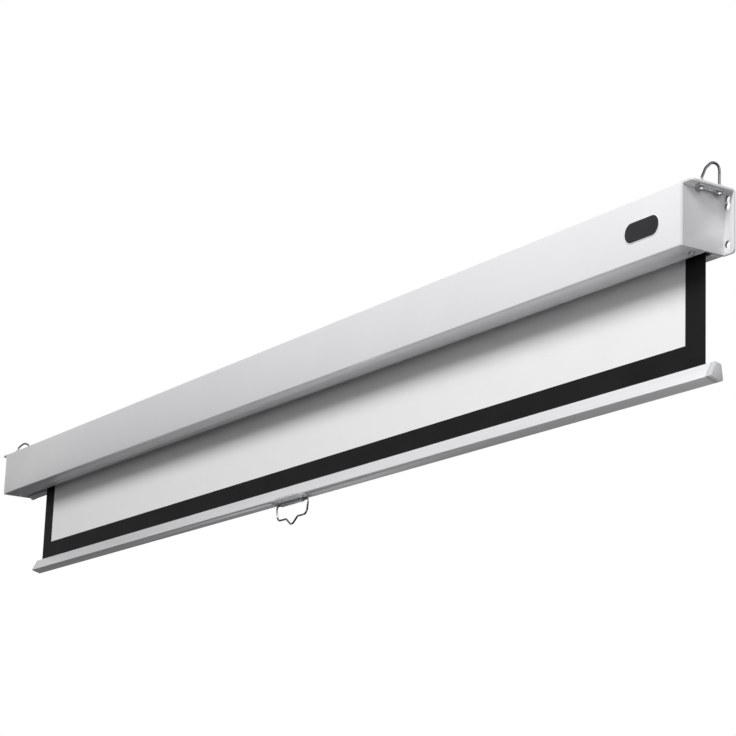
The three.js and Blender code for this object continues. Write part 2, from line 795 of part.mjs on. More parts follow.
const hangingTop = -gap;
const pictureFoot = barTop + bottomMargin;
const inSheetPlane = (shape) => alongY(
  shape,
  -sheetSetback - sheetThickness / 2,
  -sheetSetback + sheetThickness / 2,
);

function viewingSurface() {
  const half = (pictureWidth - gap) / 2;
  return inSheetPlane(box2(sheetMiddle - half, sheetMiddle + half, pictureFoot + gap / 2, hangingTop));
}

function maskingBorder() {
  const inner = (pictureWidth + gap) / 2;
  const foot = barTop + gap;
  const inside = pictureFoot - gap / 2;
  return inSheetPlane(new THREE.Shape([
    at(sheetLeft, foot), at(sheetRight, foot), at(sheetRight, hangingTop), at(sheetMiddle + inner, hangingTop),
    at(sheetMiddle + inner, inside), at(sheetMiddle - inner, inside), at(sheetMiddle - inner, hangingTop),
    at(sheetLeft, hangingTop),
  ]));
}

// Bottom bar, placed from its top in the sheet's plane

const hemInner = hemRodDiameter / 2 + gap;
const hemOuter = hemInner + sheetThickness;
const channelBore = hemOuter + gap;
const channelOuter = channelBore + channelWall;
const channelZ = -(channelOuter + channelCover);
const barHalf = sheetWidth / 2 + barOverhang;
const barBodyHalf = barHalf - capThickness - capGroove;
const barCorners = [
  at(-barTopFront, 0), at(-barNoseReach, -barNoseDrop), at(barKeelReach, -barKeelDrop),
  at(barHeelReach, -barHeelDrop), at(barShoulderReach, -barShoulderDrop),
];
const barRadii = [barEdgeRadius, barEdgeRadius, barKeelRadius, barKeelRadius, barShoulderRadius];

// The bar's section with its walls moved in
function barSection(inset) {
  const radii = barRadii.map((radius) => Math.max(radius - inset, barEdgeRadius / 2));
  return new THREE.Shape(roundedPath(offsetPath(barCorners, inset, true), radii, true));
}

// The bracket's own frame: Y back along the bar's sloping underside and Z into the bar
const underside = barCorners[2].clone().sub(barCorners[1]);
const bracketPlace = new THREE.Matrix4()
  .makeRotationX(Math.atan2(underside.y, underside.x))
  .setPosition(handleOffset, -barNoseReach, -barNoseDrop);

function bottomBar() {
  const from = -barBodyHalf;
  const past = barBodyHalf + overrun;
  const outline = alongX(barSection(0), from, barBodyHalf);
  const cavity = alongX(barSection(barWall), -past, past);
  const channel = common(outline, alongX(disc(channelOuter, plugFaces, 0, channelZ), -past, past));
  const bore = alongX(disc(channelBore, boreFaces, 0, channelZ), -past, past);
  const mouth = sheetThickness + slotPlay;
  const slot = alongX(box2(-mouth, mouth, channelZ, overrun), -past, past);
  const drills = [-1, 1].map((side) => alongZ(
    disc(bracketScrewDiameter / 2 + gap, screwFaces, side * bracketScrewOffset, bracketScrewBack),
    -overrun,
    2 * barWall,
  ).applyMatrix4(bracketPlace));
  return cut(join(cut(outline, cavity), channel), bore, slot, ...drills);
}

function hemSleeve() {
  const half = sheetWidth / 2;
  const loop = alongX(disc(hemOuter, boreFaces, 0, channelZ), -half, half);
  const neck = alongX(box2(-sheetThickness, sheetThickness, channelZ, 0), -half, half);
  const hollow = alongX(disc(hemInner, boreFaces, 0, channelZ), -half - overrun, half + overrun);
  return cut(join(loop, neck), hollow);
}

const hemRod = () => alongX(disc(hemRodDiameter / 2, screwFaces, 0, channelZ), -sheetWidth / 2, sheetWidth / 2);

// The right cap: a bevelled end face, and a hollow plug that clears the rod's channel
function barCap() {
  const face = barHalf - capBevel;
  const inner = barHalf - capThickness;
  const plugEnd = barBodyHalf - capPlugLength;
  const rim = alongX(barSection(0), inner, face);
  const bevel = alongX(barSection(capBevel), face - gap, barHalf);
  const plug = cut(
    alongX(barSection(barWall + gap), plugEnd, inner + gap),
    alongX(barSection(barWall + gap + capPlugWall), plugEnd - overrun, inner - gap),
    alongX(disc(channelOuter + gap, plugFaces, 0, channelZ), plugEnd - overrun, inner - gap),
  );
  return join(rim, bevel, plug);
}

// Handle and its bracket

const bracketFace = -(gap + bracketSheet);
const barrelBore = handleWire / 2 + gap;
const barrelZ = bracketFace - barrelBore;

function handleBracket() {
  const plate = alongX(box2(bracketStart, barrelBack, bracketFace, -gap), -bracketHalf, bracketHalf);
  const rollAt = (radius, i) => {
    const angle = 90 + barrelRoot - (barrelTurn + barrelRoot) * i / barrelSteps;
    return polar(radius, angle).add(at(barrelBack, barrelZ));
  };
  const steps = [...Array(barrelSteps + 1).keys()];
  const roll = new THREE.Shape([
    ...steps.map((i) => rollAt(barrelBore + bracketSheet, i)),
    ...steps.reverse().map((i) => rollAt(barrelBore, i)),
  ]);
  const barrel = alongX(roll, -barrelHalf, barrelHalf);
  const ribEnd = barrelBack - barrelBore - bracketSheet - ribMargin;
  const ribs = [];
  for (let i = 0; i < ribCount; i += 1) {
    const x = (i - (ribCount - 1) / 2) * ribPitch;
    const section = new THREE.Shape([
      at(x - ribWidth / 2, bracketFace + gap), at(x - ribCrest / 2, bracketFace - ribHeight),
      at(x + ribCrest / 2, bracketFace - ribHeight), at(x + ribWidth / 2, bracketFace + gap),
    ]);
    ribs.push(alongY(section, bracketStart + ribMargin, ribEnd));
  }
  const drills = [-1, 1].map((side) => alongZ(
    disc(bracketScrewDiameter / 2 + gap, screwFaces, side * bracketScrewOffset, bracketScrewBack),
    bracketFace - overrun,
    overrun,
  ));
  return cut(join(plate, barrel, ...ribs), ...drills);
}

const bracketScrew = () => domedScrew(
  bracketScrewDiameter,
  bracketScrewHead,
  bracketScrewHeadHeight,
  bracketScrewReach,
);

// The wire in X and Z, from one pin round the foot and its finger dip to the other
function handle() {
  const half = [
    at(barrelHalf - handlePinReach, 0), at(handleHalf, 0), at(handleFootHalf, -handleDrop),
    at(handleDipHalf, -handleDrop),
  ];
  const tip = at(0, -handleDrop - handleDip);
  const corners = [...half.map((p) => at(-p.x, p.y)), tip, ...half.reverse()];
  const bends = [0, handleShoulderRadius, handleFootRadius, handleDipRadius];
  const radii = [...bends, handleTipRadius, ...bends.slice().reverse()];
  const line = roundedPath(corners, radii).map((p) => new THREE.Vector3(p.x, 0, p.y));
  return bentRod(line, handleWire / 2, wireFaces);
}

// Assembly

const screen = new THREE.Group();

place(screen, 'housing_shell', 'whiteSteel', housingShell());
place(screen, 'end_bracket_right', 'whiteSteel', endBracket());
place(screen, 'end_bracket_left', 'whiteSteel', mirrored(endBracket()));
for (const [name, side] of [['right', 1], ['left', -1]]) {
  const screw = place(screen, `cap_screw_${name}`, 'zinc', capScrew());
  screw.position.set(side * capScrewX, -capScrewSetback, -halfHeight - gap);
  hanger(screen, side, name);
}

const roller = groupAt(screen, 0, rollerY, 0);
place(roller, 'roller_tube', 'zinc', rollerTube());
place(roller, 'wound_sheet', 'whiteSheet', woundSheet());
place(roller, 'idler_plug', 'whiteNylon', idlerPlug());
place(roller, 'idler_pin', 'zinc', idlerPin());
place(roller, 'spindle_holder', 'zinc', spindleHolder());
place(roller, 'spindle', 'zinc', spindle());
place(roller, 'ratchet_wheel', 'zinc', ratchetWheel());
place(roller, 'lock_cap', 'whiteNylon', lockCap());
for (const [name, angle] of [['upper', 0], ['lower', Math.PI]]) {
  const pair = groupAt(roller, 0, 0, 0);
  pair.rotation.x = angle;
  place(pair, `pawl_${name}`, 'zinc', pawl());
  place(pair, `pawl_pin_${name}`, 'zinc', pawlPin());
}
place(roller, 'spring_collar', 'zinc', springCollar());
place(roller, 'spring_plug', 'whiteNylon', springPlug());
const coils = springLine();
place(roller, 'torsion_spring', 'springSteel', bentRod(coils, springWire / 2, springFaces));
console.log('least gap in the spring', leastGap(coils, springWire, springSteps / 2).toFixed(2));

place(screen, 'viewing_surface', 'whiteSheet', viewingSurface());
place(screen, 'masking_border', 'blackSheet', maskingBorder());

const bar = groupAt(screen, sheetMiddle, -sheetSetback, barTop);
place(bar, 'bottom_bar', 'aluminium', bottomBar());
place(bar, 'bar_cap_right', 'greyPlastic', barCap());
place(bar, 'bar_cap_left', 'greyPlastic', mirrored(barCap()));
place(bar, 'hem_sleeve', 'blackSheet', hemSleeve());
place(bar, 'hem_rod', 'zinc', hemRod());

const bracket = new THREE.Group();
bracket.applyMatrix4(bracketPlace);
bar.add(bracket);
place(bracket, 'handle_bracket', 'zinc', handleBracket());
for (const [name, side] of [['right', 1], ['left', -1]]) {
  const screw = place(bracket, `bracket_screw_${name}`, 'zinc', bracketScrew());
  screw.position.set(side * bracketScrewOffset, bracketScrewBack, bracketFace - gap);
}
const hinge = new THREE.Vector3(0, barrelBack, barrelZ).applyMatrix4(bracketPlace);
place(groupAt(bar, hinge.x, hinge.y, hinge.z), 'handle', 'chrome', handle());

export default screen;
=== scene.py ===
import math

import bmesh
import bpy
from mathutils import Matrix, Vector


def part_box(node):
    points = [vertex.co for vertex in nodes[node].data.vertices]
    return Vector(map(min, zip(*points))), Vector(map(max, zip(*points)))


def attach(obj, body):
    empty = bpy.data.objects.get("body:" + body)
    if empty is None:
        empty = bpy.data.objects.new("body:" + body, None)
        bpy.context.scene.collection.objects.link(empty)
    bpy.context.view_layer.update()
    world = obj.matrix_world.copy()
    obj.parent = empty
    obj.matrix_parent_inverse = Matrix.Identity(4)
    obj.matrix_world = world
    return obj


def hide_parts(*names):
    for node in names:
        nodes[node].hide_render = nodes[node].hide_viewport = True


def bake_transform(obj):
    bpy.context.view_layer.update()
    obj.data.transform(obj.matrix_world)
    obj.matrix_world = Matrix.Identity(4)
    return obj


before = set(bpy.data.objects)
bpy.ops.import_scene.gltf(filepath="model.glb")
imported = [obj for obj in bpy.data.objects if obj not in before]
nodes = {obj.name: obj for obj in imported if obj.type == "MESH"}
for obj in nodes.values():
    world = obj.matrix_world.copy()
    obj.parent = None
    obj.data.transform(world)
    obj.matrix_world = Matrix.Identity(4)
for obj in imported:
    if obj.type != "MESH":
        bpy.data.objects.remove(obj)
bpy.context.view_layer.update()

print("frame loaded:", len(nodes), "nodes")


# Small helpers for modelling

nearby = 0.0001   # how close a point has to be to count as on a line
weldGap = 0.000005


def deselectAll():
    if bpy.context.object and bpy.context.object.mode != "OBJECT":
        bpy.ops.object.mode_set(mode="OBJECT")
    bpy.ops.object.select_all(action="DESELECT")


def activate(piece):
    deselectAll()
    piece.select_set(True)
    bpy.context.view_layer.objects.active = piece


def settle(piece):
    activate(piece)
    bpy.ops.object.transform_apply(location=True, rotation=True, scale=True)


def applyAll(piece):
    activate(piece)
    for modifier in list(piece.modifiers):
        bpy.ops.object.modifier_apply(modifier=modifier.name)


def selectFaces(test):
    # The active piece is in edit mode; a face is picked by its middle and normal
    shape = bmesh.from_edit_mesh(bpy.context.object.data)
    for face in shape.faces:
        face.select_set(bool(test(face.calc_center_median(), face.normal)))
    shape.select_flush_mode()
    bmesh.update_edit_mesh(bpy.context.object.data)


def selectPoints(test):
    shape = bmesh.from_edit_mesh(bpy.context.object.data)
    for point in shape.verts:
        point.select_set(bool(test(point.co)))
    shape.select_flush_mode()
    bmesh.update_edit_mesh(bpy.context.object.data)


def smooth(piece, degrees=30):
    activate(piece)
    bpy.ops.object.shade_smooth_by_angle(angle=math.radians(degrees))


def outward(piece):
    activate(piece)
    bpy.ops.object.mode_set(mode="EDIT")
    bpy.ops.mesh.select_all(action="SELECT")
    bpy.ops.mesh.remove_doubles(threshold=weldGap)
    bpy.ops.mesh.normals_make_consistent(inside=False)
    bpy.ops.object.mode_set(mode="OBJECT")


def copyOf(piece, name, place):
    # A copy with its own mesh, moved by a matrix
    activate(piece)
    bpy.ops.object.duplicate(linked=False)
    twin = bpy.context.object
    twin.name = name
    twin.matrix_world = place
    settle(twin)
    return twin


def modifier(piece, name, kind, **settings):
    added = piece.modifiers.new(name, kind)
    for setting, value in settings.items():
        setattr(added, setting, value)
    return added


def roundEdges(piece, width, degrees, segments=2):
    modifier(
        piece, "edges", "BEVEL", width=width, segments=segments,
        limit_method="ANGLE", angle_limit=math.radians(degrees),
    )


def addCylinder(radius, depth, middle, faces, turn=0.0):
    deselectAll()
    bpy.ops.mesh.primitive_cylinder_add(
        vertices=faces, radius=radius, depth=depth, location=(0, 0, middle), rotation=(0, 0, turn),
    )
    cylinder = bpy.context.object
    settle(cylinder)
    return cylinder


def addBox(size, middle):
    deselectAll()
    bpy.ops.mesh.primitive_cube_add(size=1, location=middle)
    box = bpy.context.object
    box.scale = size
    settle(box)
    return box


# Finishes

def newFinish(name, colour, roughness, metallic=0.0):
    finish = bpy.data.materials.new(name)
    finish.use_nodes = True
    shader = finish.node_tree.nodes["Principled BSDF"]
    shader.inputs["Base Color"].default_value = (*colour, 1)
    shader.inputs["Roughness"].default_value = roughness
    shader.inputs["Metallic"].default_value = metallic
    return finish, shader


def addNode(finish, kind, **inputs):
    node = finish.node_tree.nodes.new(kind)
    for name, value in inputs.items():
        node.inputs[name.replace("_", " ")].default_value = value
    return node


def link(finish, output, target):
    finish.node_tree.links.new(output, target)


def patternPlace(finish, stretch=(1, 1, 1), uv=False):
    # Object coordinates in metres, or the piece's own flat cloth map, stretched
    source = finish.node_tree.nodes.new("ShaderNodeTexCoord")
    mapping = addNode(finish, "ShaderNodeMapping", Scale=stretch)
    link(finish, source.outputs["UV" if uv else "Object"], mapping.inputs["Vector"])
    return mapping.outputs["Vector"]


def noise(finish, place, scale, detail=3.0, roughness=0.5):
    node = addNode(finish, "ShaderNodeTexNoise", Scale=scale, Detail=detail, Roughness=roughness)
    link(finish, place, node.inputs["Vector"])
    return node.outputs["Fac"]


noiseSpan = (0.3, 0.7)  # where nearly all of a noise's values lie


def vary(finish, shader, value, low, high, span=noiseSpan):
    # Roughness from low to high by a pattern
    node = addNode(
        finish, "ShaderNodeMapRange", From_Min=span[0], From_Max=span[1], To_Min=low, To_Max=high,
    )
    link(finish, value, node.inputs["Value"])
    link(finish, node.outputs["Result"], shader.inputs["Roughness"])


def tint(finish, shader, value, first, second, span=noiseSpan):
    # Base colour from first to second by a pattern
    node = finish.node_tree.nodes.new("ShaderNodeValToRGB")
    ramp = node.color_ramp
    for element, place, colour in zip(ramp.elements, span, (first, second)):
        element.position, element.color = place, (*colour, 1)
    link(finish, value, node.inputs["Fac"])
    link(finish, node.outputs["Color"], shader.inputs["Base Color"])


def bump(finish, shader, height, strength, distance, before=None):
    node = addNode(finish, "ShaderNodeBump", Strength=strength, Distance=distance)
    link(finish, height, node.inputs["Height"])
    if before:
        link(finish, before, node.inputs["Normal"])
    link(finish, node.outputs["Normal"], shader.inputs["Normal"])
    return node.outputs["Normal"]


powderCoat = {
    "colour": (0.765, 0.765, 0.785), "faded": (0.745, 0.745, 0.765),
    "roughLow": 0.32, "roughHigh": 0.40,
    "cloudScale": 9, "roughScale": 60, "stretch": 0.15,
    "peelScale": 700, "peelHeight": 0.000008, "waveScale": 6, "waveHeight": 0.00012,
    "coat": 0.8, "coatRough": 0.08,
}


def makePowderCoat():
    look = powderCoat
    finish, shader = newFinish("whitePowderCoat", look["colour"], 0.3)
    place = patternPlace(finish)
    tint(finish, shader, noise(finish, place, look["cloudScale"], 4), look["faded"], look["colour"])
    vary(finish, shader, noise(finish, place, look["roughScale"]), look["roughLow"], look["roughHigh"])
    # Long slow waves of the rolled sheet under the coat's fine orange peel
    along = patternPlace(finish, (look["stretch"], 1, 1))
    wave = bump(finish, shader, noise(finish, along, look["waveScale"], 1), 0.5, look["waveHeight"])
    bump(finish, shader, noise(finish, place, look["peelScale"], 2), 0.4, look["peelHeight"], wave)
    shader.inputs["Coat Weight"].default_value = look["coat"]
    shader.inputs["Coat Roughness"].default_value = look["coatRough"]
    return finish


# The hanger nuts, hanger wire and handle wire share one plating, set to three brightnesses: the nuts'
# lighter colour is a painted highlight, and the wires' darker colours are painted shade for their dark
# reflections
litNutLook = {
    "colour": (0.66, 0.67, 0.69), "dull": (0.46, 0.47, 0.49), "roughLow": 0.12, "roughHigh": 0.24,
}
shadedWireLook = {
    "colour": (0.30, 0.305, 0.32), "dull": (0.19, 0.195, 0.21), "roughLow": 0.12, "roughHigh": 0.22,
}
shadedHandleWireLook = {
    "colour": (0.42, 0.43, 0.45), "dull": (0.29, 0.30, 0.32), "roughLow": 0.12, "roughHigh": 0.24,
}
chromeGrain = {"stain": 120, "rough": 300, "pits": 900, "pitDepth": 0.00003}


def makeChrome(name, look):
    grain = chromeGrain
    finish, shader = newFinish(name, look["colour"], look["roughLow"], 1.0)
    place = patternPlace(finish)
    tint(finish, shader, noise(finish, place, grain["stain"], 5), look["dull"], look["colour"])
    vary(finish, shader, noise(finish, place, grain["rough"]), look["roughLow"], look["roughHigh"])
    bump(finish, shader, noise(finish, place, grain["pits"], 3), 0.15, grain["pitDepth"])
    return finish


zincPlate = {
    "colour": (0.74, 0.75, 0.77), "dull": (0.54, 0.55, 0.57), "metallic": 0.55,
    "roughLow": 0.29, "roughHigh": 0.45, "roughScale": 150,
    "grain": 260, "grainSpan": (0.1, 0.9), "pits": 700, "pitDepth": 0.00004,
}


def makeZinc():
    look = zincPlate
    finish, shader = newFinish("zincPlate", look["colour"], look["roughLow"], look["metallic"])
    place = patternPlace(finish)
    spangle = addNode(finish, "ShaderNodeTexVoronoi", Scale=look["grain"])
    link(finish, place, spangle.inputs["Vector"])
    tint(finish, shader, spangle.outputs["Distance"], look["colour"], look["dull"], look["grainSpan"])
    vary(finish, shader, noise(finish, place, look["roughScale"]), look["roughLow"], look["roughHigh"])
    bump(finish, shader, noise(finish, place, look["pits"], 3), 0.2, look["pitDepth"])
    return finish


drawnMetal = {
    "colour": (0.83, 0.83, 0.84), "dull": (0.76, 0.76, 0.775), "metallic": 0.3,
    "roughLow": 0.34, "roughHigh": 0.46, "roughScale": 220,
    "lineScale": 500, "lineStretch": 0.004, "lineDepth": 0.00003,
}


def makeAluminium():
    look = drawnMetal
    finish, shader = newFinish("satinAluminium", look["colour"], look["roughLow"], look["metallic"])
    along = patternPlace(finish, (look["lineStretch"], 1, 1))
    line = noise(finish, along, look["lineScale"], 2)
    tint(finish, shader, line, look["dull"], look["colour"])
    vary(finish, shader, noise(finish, along, look["roughScale"]), look["roughLow"], look["roughHigh"])
    bump(finish, shader, line, 0.25, look["lineDepth"])
    return finish


plasticGrain = {
    "cloud": 40, "rough": 90, "smoother": 0.05, "rougher": 0.07, "grain": 1600, "grainHeight": 0.000008,
}


def makePlastic(name, colour, dark, roughness):
    grain = plasticGrain
    finish, shader = newFinish(name, colour, roughness)
    place = patternPlace(finish)
    tint(finish, shader, noise(finish, place, grain["cloud"], 4), dark, colour)
    low, high = roughness - grain["smoother"], roughness + grain["rougher"]
    vary(finish, shader, noise(finish, place, grain["rough"]), low, high)
    bump(finish, shader, noise(finish, place, grain["grain"], 2), 0.35, grain["grainHeight"])
    return finish


springLook = {
    "colour": (0.20, 0.205, 0.22), "dull": (0.09, 0.09, 0.10), "stain": 200,
    "roughLow": 0.29, "roughHigh": 0.45, "roughScale": 80,
}


def makeSpringSteel():
    look = springLook
    finish, shader = newFinish("oiledSpringWire", look["colour"], look["roughLow"], 1.0)
    place = patternPlace(finish)
    tint(finish, shader, noise(finish, place, look["stain"], 4), look["dull"], look["colour"])
    vary(finish, shader, noise(finish, place, look["roughScale"]), look["roughLow"], look["roughHigh"])
    return finish


clothLook = {
    "picture": (0.875, 0.875, 0.88), "pictureShade": (0.86, 0.86, 0.865),
    "margin": (0.0135, 0.0135, 0.0145), "marginShade": (0.0095, 0.0095, 0.0105),
    "back": (0.030, 0.030, 0.032), "backShade": (0.020, 0.020, 0.022),
    "cloud": 14, "thread": 0.0008, "threadHeight": 0.00006, "roughSpread": 0.06,
}


def makeCloth(name, colour, shade, roughness, sheen, gloss=0.3):
    # A fine plain weave under a matt coating; the map is in metres along the cloth
    look = clothLook
    finish, shader = newFinish(name, colour, roughness)
    flat = patternPlace(finish, uv=True)
    tint(finish, shader, noise(finish, flat, look["cloud"], 5), shade, colour)
    scale = math.pi / 10 / look["thread"]
    threads = []
    for direction in ("X", "Y"):
        wave = addNode(finish, "ShaderNodeTexWave", Scale=scale, Distortion=0.6)
        wave.bands_direction = direction
        link(finish, flat, wave.inputs["Vector"])
        threads.append(wave.outputs["Fac"])
    weave = finish.node_tree.nodes.new("ShaderNodeMath")
    weave.operation = "MULTIPLY"
    for thread, socket in zip(threads, weave.inputs):
        link(finish, thread, socket)
    low, high = roughness - look["roughSpread"], roughness + look["roughSpread"]
    vary(finish, shader, weave.outputs[0], low, high, (0, 1))
    bump(finish, shader, weave.outputs[0], 0.35, look["threadHeight"])
    shader.inputs["Sheen Weight"].default_value = sheen
    shader.inputs["Specular IOR Level"].default_value = gloss
    return finish


# Colour, its darker shade and the roughness of each moulded finish
plastics = {
    "greyMouldedPlastic": ((0.60, 0.61, 0.62), (0.55, 0.56, 0.57), 0.45),
    "whiteNylon": ((0.80, 0.79, 0.75), (0.74, 0.73, 0.69), 0.4),
    "badgePlate": ((0.017, 0.017, 0.020), (0.011, 0.011, 0.013), 0.36),
    "badgeRim": ((0.86, 0.86, 0.87), (0.82, 0.82, 0.83), 0.38),
    # Painted shade: a dark grey for the walls of the flange holes, standing in for the shadow inside them
    "holeWallShade": ((0.16, 0.16, 0.165), (0.09, 0.09, 0.095), 0.45),
}
plastic = {name: makePlastic(name, *look) for name, look in plastics.items()}

finishes = {
    "white_steel": makePowderCoat(),
    # The nuts' plating, lightened: painted highlight
    "chrome": makeChrome("litChromePlate", litNutLook),
    "zinc": makeZinc(),
    "aluminium": makeAluminium(),
    "grey_plastic": plastic["greyMouldedPlastic"],
    "white_nylon": plastic["whiteNylon"],
    "spring_steel": makeSpringSteel(),
    "white_sheet": makeCloth(
        "pictureCloth", clothLook["picture"], clothLook["pictureShade"], roughness=0.85, sheen=0.08,
    ),
    "black_sheet": makeCloth(
        "blackMargin", clothLook["margin"], clothLook["marginShade"], roughness=0.6, sheen=0.0, gloss=0.12,
    ),
}
# Darker copies of the nuts' plating for the wires: painted shade
shadedWirePlate = makeChrome("shadedWirePlate", shadedWireLook)
shadedHandleWirePlate = makeChrome("shadedHandleWirePlate", shadedHandleWireLook)
backCloth = makeCloth(
    "blackBackCoating", clothLook["back"], clothLook["backShade"], roughness=0.7, sheen=0.05,
)
sheetFinishes = (finishes["white_sheet"], finishes["black_sheet"], backCloth)

for name, piece in nodes.items():
    slotName = piece.data.materials[0].name.split(".")[0]
    piece.data.materials[0] = finishes[slotName]

# Walls of the holes in the back flanges get a dark painted shade for the shadow inside each hole: middle
# in X and Z, and radius
shadedHoles = [((0.99771, 0.0207), 0.0050), ((0.99771, 0.0300), 0.0043), ((0.99771, -0.0275), 0.0049)]
flangeFront = -0.004
for name in ("end_bracket_right", "end_bracket_left"):
    mesh = nodes[name].data
    mesh.materials.append(plastic["holeWallShade"])
    for face in mesh.polygons:
        middle = face.center
        inHole = any(
            math.hypot(abs(middle.x) - x, middle.z - z) < radius for (x, z), radius in shadedHoles
        )
        if inHole and middle.y > flangeFront and abs(face.normal.y) < 0.5:
            face.material_index = 1
print("finishes made:", len(bpy.data.materials))


# Carried-over nodes: rigid ones get fine rounded edges and smooth rounds

edgeSoftening = {
    "housing_shell": 0.0002, "end_bracket_right": 0.0004, "end_bracket_left": 0.0004,
    "hanger_strap_right": 0.0003, "hanger_strap_left": 0.0003,
    "bar_cap_right": 0.0003, "bar_cap_left": 0.0003, "bottom_bar": 0.0001,
}
for name, piece in nodes.items():
    piece.data.polygons.foreach_set("use_smooth", [True] * len(piece.data.polygons))
    modifier(piece, "weld", "WELD", merge_threshold=weldGap)
    if name in edgeSoftening:
        modifier(
            piece, "edges", "BEVEL", width=edgeSoftening[name], segments=2,
            limit_method="ANGLE", angle_limit=math.radians(40), harden_normals=True,
        )
    else:
        modifier(piece, "creases", "EDGE_SPLIT", split_angle=math.radians(35))
print("carried-over nodes finished")


# Hanging sheet: one cloth from the roll to the bar, white with black margins and a black back

sheetLook = {
    "columns": 44, "rowsAbove": 8, "rowsBlend": 74, "rowsFoot": 6,
    "wrapDegrees": 50,       # lies on the roll
    "blackAbove": -0.0222,   # the top margin, inside the housing while the screen hangs like this
    "thickness": 0.0004,
    "edgeStrip": 0.0012,     # a narrow strip along each edge
    "overlap": 0.00015,      # white over the margins' inner edges
    "footOverlap": 0.0002, "tuck": 0.0002,
}
rollAxis = Vector((0, -0.043598, 0))
rollRadius = 0.021598
tubeRadius = 0.018


def clothGrid(name, lineX, line):
    # A grid of faces: lineX along the housing, and the points of the line along the cloth
    shape = bmesh.new()
    rows = [[shape.verts.new((x, y, z)) for x in lineX] for y, z in line]
    for first, second in zip(rows, rows[1:]):
        for i in range(len(lineX) - 1):
            shape.faces.new((first[i], first[i + 1], second[i + 1], second[i]))
    mesh = bpy.data.meshes.new(name)
    shape.to_mesh(mesh)
    shape.free()
    piece = bpy.data.objects.new(name, mesh)
    bpy.context.scene.collection.objects.link(piece)
    return piece


def thicken(piece, thickness):
    modifier(piece, "thickness", "SOLIDIFY", thickness=thickness, offset=0.0)
    applyAll(piece)
    outward(piece)


def evenly(low, high, count):
    return [low + (high - low) * i / count for i in range(1, count + 1)]


def flatMap(piece, lengthOf):
    # Cloth map in metres: along the housing, and along the cloth
    layer = piece.data.uv_layers.new(name="flatCloth")
    for loop in piece.data.loops:
        point = piece.data.vertices[loop.vertex_index].co
        layer.data[loop.index].uv = (point.x, lengthOf(point))


def hangSheet():
    look = sheetLook
    marginLow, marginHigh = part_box("masking_border")
    pictureLow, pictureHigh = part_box("viewing_surface")
    plane = (marginLow.y + marginHigh.y) / 2
    foot = marginLow.z - look["footOverlap"]
    pictureFoot = pictureLow.z - look["overlap"]
    pictureLeft, pictureRight = pictureLow.x - look["overlap"], pictureHigh.x + look["overlap"]
    lineX = [marginLow.x, marginLow.x + look["edgeStrip"], pictureLeft]
    lineX += evenly(pictureLeft, pictureRight, look["columns"])
    lineX += [marginHigh.x - look["edgeStrip"], marginHigh.x]
    line = []
    radius = plane - rollAxis.y
    for i in range(look["rowsAbove"], 0, -1):
        share = i / look["rowsAbove"]
        angle = math.radians(look["wrapDegrees"]) * share
        lie = radius - look["tuck"] * share
        line.append((rollAxis.y + lie * math.cos(angle), lie * math.sin(angle)))
    line += [(plane, z) for z in [0, *evenly(0, pictureFoot, look["rowsBlend"])]]
    line += [(plane, z) for z in evenly(pictureFoot, foot, look["rowsFoot"])]
    piece = clothGrid("hangingSheet", lineX, line)
    mesh = piece.data
    for finish in sheetFinishes:
        mesh.materials.append(finish)
    flatMap(piece, lambda point: point.z)
    thicken(piece, look["thickness"])
    for face in mesh.polygons:
        middle = face.center
        onRoll = middle.z > 0 and (middle - rollAxis).yz.dot(face.normal.yz) > 0
        if face.normal.y > 0.5 or onRoll:
            face.material_index = 2
        elif lineX[2] < middle.x < lineX[-3] and pictureFoot < middle.z < look["blackAbove"]:
            face.material_index = 0
        else:
            face.material_index = 1
    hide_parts("viewing_surface", "masking_border")
    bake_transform(piece)
    return piece


# Wound part of the sheet: a true spiral round the tube

rollLook = {
    "stepsPerTurn": 56, "gauge": 0.0004, "layer": 0.00034, "columns": 6,
    "underEnd": 8,           # degrees that the outer end lies under the hanging sheet's wrap
    "tubeGap": 0.00002, "mapPerTurn": 0.13,
}


def windSheet():
    look = rollLook
    low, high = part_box("wound_sheet")
    pictureLow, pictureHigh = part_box("viewing_surface")
    turns = (rollRadius - tubeRadius - look["tubeGap"]) / look["gauge"]
    steps = round(turns * look["stepsPerTurn"])
    pictureLeft = pictureLow.x - sheetLook["overlap"]
    pictureRight = pictureHigh.x + sheetLook["overlap"]
    lineX = [low.x, pictureLeft, *evenly(pictureLeft, pictureRight, look["columns"]), high.x]
    line = []
    for i in range(steps + 1):
        turn = i / look["stepsPerTurn"]
        angle = math.radians(sheetLook["wrapDegrees"] - look["underEnd"]) + 2 * math.pi * turn
        radius = rollRadius - look["layer"] / 2 - look["gauge"] * turn
        line.append((rollAxis.y + radius * math.cos(angle), radius * math.sin(angle)))
    piece = clothGrid("woundRoll", lineX, line)
    mesh = piece.data
    for finish in sheetFinishes:
        mesh.materials.append(finish)
    layer = mesh.uv_layers.new(name="flatCloth")
    for loop in mesh.loops:
        turn = loop.vertex_index // len(lineX) / look["stepsPerTurn"]
        x = mesh.vertices[loop.vertex_index].co.x
        layer.data[loop.index].uv = (x, look["mapPerTurn"] * turn)
    thicken(piece, look["layer"])
    smooth(piece, 40)
    for face in mesh.polygons:
        across = face.center - rollAxis
        across.x = 0
        if across.dot(face.normal) > 0:
            face.material_index = 2
        else:
            face.material_index = 0 if lineX[1] < face.center.x < lineX[-2] else 1
    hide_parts("wound_sheet")
    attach(piece, "roller")
    return piece


# Hem: the sheet's foot goes round the rod in the bar's channel and is welded to itself

hemLook = {"gap": 0.0003, "thickness": 0.0004, "steps": 28, "columns": 12, "pressed": 0.95}


